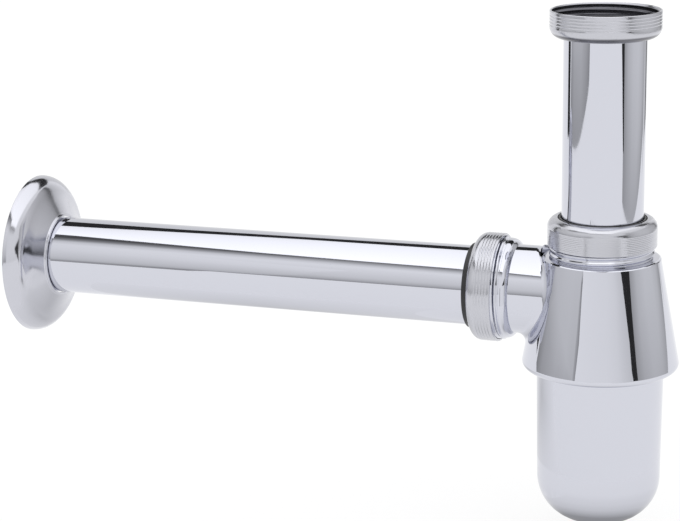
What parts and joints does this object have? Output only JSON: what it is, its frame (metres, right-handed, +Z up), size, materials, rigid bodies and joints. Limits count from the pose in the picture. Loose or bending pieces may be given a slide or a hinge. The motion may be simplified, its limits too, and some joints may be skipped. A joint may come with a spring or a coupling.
{
  "type": "bottle trap",
  "caption": "Chromed basin bottle trap: height-adjustable inlet tube with union nut, cone body with side branch, screw-on cup, straight wall pipe and sliding wall flange.",
  "frame": {"origin": "centre of the inlet nut's mouth, where the basin waste screws in", "axes": "+Z up along the inlet tube and out of the inlet's mouth; the wall pipe runs along -X and the wall lies at its end"},
  "size_m": [0.2774, 0.0668, 0.2052],
  "materials": {
    "polished_chrome": "polished chrome plate on brass",
    "turned_chrome": "chrome plate over fine turned ridges",
    "black_ring": "moulded, matt black",
    "black_rubber": "moulded rubber, matt black"
  },
  "bodies": {
    "body": {"trap_body": "polished_chrome", "tube_seal": "black_rubber", "outlet_seal": "black_rubber"},
    "tube": {"inlet_tube": "polished_chrome", "inlet_washer": "black_rubber"},
    "inlet_nut": {"inlet_nut": "turned_chrome"},
    "tube_ring": {"tube_slip_ring": "black_ring"},
    "tube_nut": {"tube_nut": "turned_chrome"},
    "outlet_ring": {"outlet_slip_ring": "black_ring"},
    "outlet_nut": {"outlet_nut": "turned_chrome"},
    "gasket": {"cup_gasket": "black_rubber"},
    "cup": {"cup": "polished_chrome"},
    "pipe": {"outlet_pipe": "polished_chrome"},
    "flange": {"wall_flange": "polished_chrome"}
  },
  "joints": [
    {"name": "tube_height", "type": "slide", "parent": "body", "child": "tube", "axis": [0, 0, 1], "range_m": [-0.014, 0.03]},
    {"name": "inlet_nut_turn", "type": "hinge", "parent": "tube", "child": "inlet_nut", "pos_m": [0, 0, -0.005], "axis": [0, 0, 1], "continuous": true},
    {"name": "tube_ring_rise", "type": "slide", "parent": "body", "child": "tube_ring", "axis": [0, 0, 1], "range_m": [0, 0.00463]},
    {"name": "tube_nut_turn", "type": "hinge", "parent": "tube_ring", "child": "tube_nut", "pos_m": [0, 0, -0.087], "axis": [0, 0, 1], "range_deg": [0, 720]},
    {"name": "outlet_ring_back", "type": "slide", "parent": "body", "child": "outlet_ring", "axis": [-1, 0, 0], "range_m": [0, 0.00463]},
    {"name": "outlet_nut_turn", "type": "hinge", "parent": "outlet_ring", "child": "outlet_nut", "pos_m": [-0.045, 0, -0.1125], "axis": [-1, 0, 0], "range_deg": [0, 720]},
    {"name": "gasket_drop", "type": "slide", "parent": "body", "child": "gasket", "axis": [0, 0, 1], "range_m": [-0.00801, 0]},
    {"name": "cup_turn", "type": "hinge", "parent": "gasket", "child": "cup", "pos_m": [0, 0, -0.136], "axis": [0, 0, 1], "range_deg": [-1440, 0]},
    {"name": "pipe_reach", "type": "slide", "parent": "body", "child": "pipe", "axis": [-1, 0, 0], "range_m": [-0.0015, 0.01]},
    {"name": "flange_slide", "type": "slide", "parent": "pipe", "child": "flange", "axis": [1, 0, 0], "range_m": [0, 0.165]}
  ],
  "couplings": [
    {"joint": "tube_ring_rise", "follows": "tube_nut_turn", "m_per_rad": 0.00036749},
    {"joint": "outlet_ring_back", "follows": "outlet_nut_turn", "m_per_rad": 0.00036749},
    {"joint": "gasket_drop", "follows": "cup_turn", "m_per_rad": 0.00031831}
  ]
}
